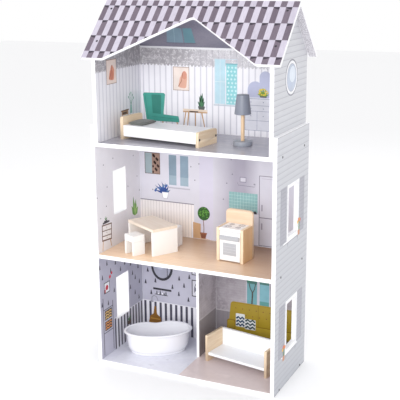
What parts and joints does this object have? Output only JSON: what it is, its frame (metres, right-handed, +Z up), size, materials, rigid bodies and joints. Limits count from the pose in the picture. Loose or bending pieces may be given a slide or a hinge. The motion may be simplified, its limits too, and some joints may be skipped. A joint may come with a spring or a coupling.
{
  "type": "wooden dollhouse",
  "caption": "Open-fronted three-storey dollhouse with a cut-out gabled roof, window holes in its side walls and loose wooden furniture.",
  "frame": {"origin": "on the ground under the middle of the roof", "axes": "+X to the right seen from the open front, +Y from the open front to the back, +Z up"},
  "size_m": [0.624, 0.3238, 1.143],
  "materials": {
    "printed_board": "satin",
    "white_board": "satin",
    "beige_top": "satin",
    "birch_ply": "satin",
    "beech": "matt",
    "grey_paint": "satin",
    "grey_felt": "matt",
    "tub_white": "gloss",
    "dark_screw": "satin",
    "steel_pin": "satin"
  },
  "bodies": {
    "house": {"base_panel": "printed_board", "left_side_panel": "printed_board", "right_side_panel": "printed_board", "kitchen_floor": "printed_board", "attic_floor": "printed_board", "room_divider": "printed_board", "lower_back_panel": "printed_board", "attic_back_panel": "printed_board", "left_gable_wall": "printed_board", "right_gable_wall": "printed_board", "front_roof_panel": "printed_board", "rear_roof_panel": "printed_board", "left_side_screws": "dark_screw", "right_side_screws": "dark_screw", "front_roof_screws": "dark_screw", "rear_roof_screws": "dark_screw", "back_panel_screws": "dark_screw", "divider_dowels": "beech", "gable_dowels": "beech"},
    "bed": {"bed_headboard": "birch_ply", "bed_footboard": "birch_ply", "bed_front_rail": "white_board", "bed_rear_rail": "white_board", "mattress_board": "white_board", "bed_screws": "dark_screw"},
    "pillow": {"bed_pillow": "grey_felt"},
    "floor_lamp": {"lamp_base": "grey_paint", "lamp_post": "beech", "lamp_shade": "grey_paint"},
    "table": {"table_top": "beige_top", "table_left_end": "white_board", "table_right_end": "white_board"},
    "stool_one": {"stool_one_seat": "white_board", "stool_one_left_leg": "white_board", "stool_one_right_leg": "white_board"},
    "stool_two": {"stool_two_seat": "white_board", "stool_two_left_leg": "white_board", "stool_two_right_leg": "white_board"},
    "stove": {"stove_left_side": "birch_ply", "stove_right_side": "birch_ply", "stove_splash_back": "birch_ply", "stove_hob": "white_board", "stove_shelf": "white_board"},
    "oven_door": {"oven_door": "white_board", "oven_handle": "grey_paint", "oven_hinge_pins": "steel_pin"},
    "tub": {"bathtub": "tub_white"},
    "sofa": {"sofa_left_arm": "birch_ply", "sofa_right_arm": "birch_ply", "sofa_seat": "white_board", "sofa_back": "white_board", "sofa_screws": "dark_screw"}
  },
  "joints": [
    {"name": "bed_slides_out", "type": "slide", "parent": "house", "child": "bed", "axis": [0, -1, 0], "range_m": [0, 0.23]},
    {"name": "pillow_lifts_off", "type": "slide", "parent": "bed", "child": "pillow", "axis": [0, 0, 1], "range_m": [0, 0.06]},
    {"name": "lamp_slides_out", "type": "slide", "parent": "house", "child": "floor_lamp", "axis": [0, -1, 0], "range_m": [0, 0.21]},
    {"name": "stool_two_slides_out", "type": "slide", "parent": "house", "child": "stool_two", "axis": [0, -1, 0], "range_m": [0, 0.25]},
    {"name": "table_slides_out", "type": "slide", "parent": "stool_two", "child": "table", "axis": [0, -1, 0], "range_m": [0, 0.245]},
    {"name": "stool_one_slides_out", "type": "slide", "parent": "table", "child": "stool_one", "axis": [0, -1, 0], "range_m": [0, 0.13]},
    {"name": "stove_slides_out", "type": "slide", "parent": "house", "child": "stove", "axis": [0, -1, 0], "range_m": [0, 0.215]},
    {"name": "oven_door_opens", "type": "hinge", "parent": "stove", "child": "oven_door", "pos_m": [0.11809, -0.0418, 0.377], "axis": [0.9969, -0.0785, 0], "range_deg": [0, 85]},
    {"name": "tub_slides_out", "type": "slide", "parent": "house", "child": "tub", "axis": [0, -1, 0], "range_m": [0, 0.27]},
    {"name": "sofa_slides_out", "type": "slide", "parent": "house", "child": "sofa", "axis": [0, -1, 0], "range_m": [0, 0.27]}
  ]
}
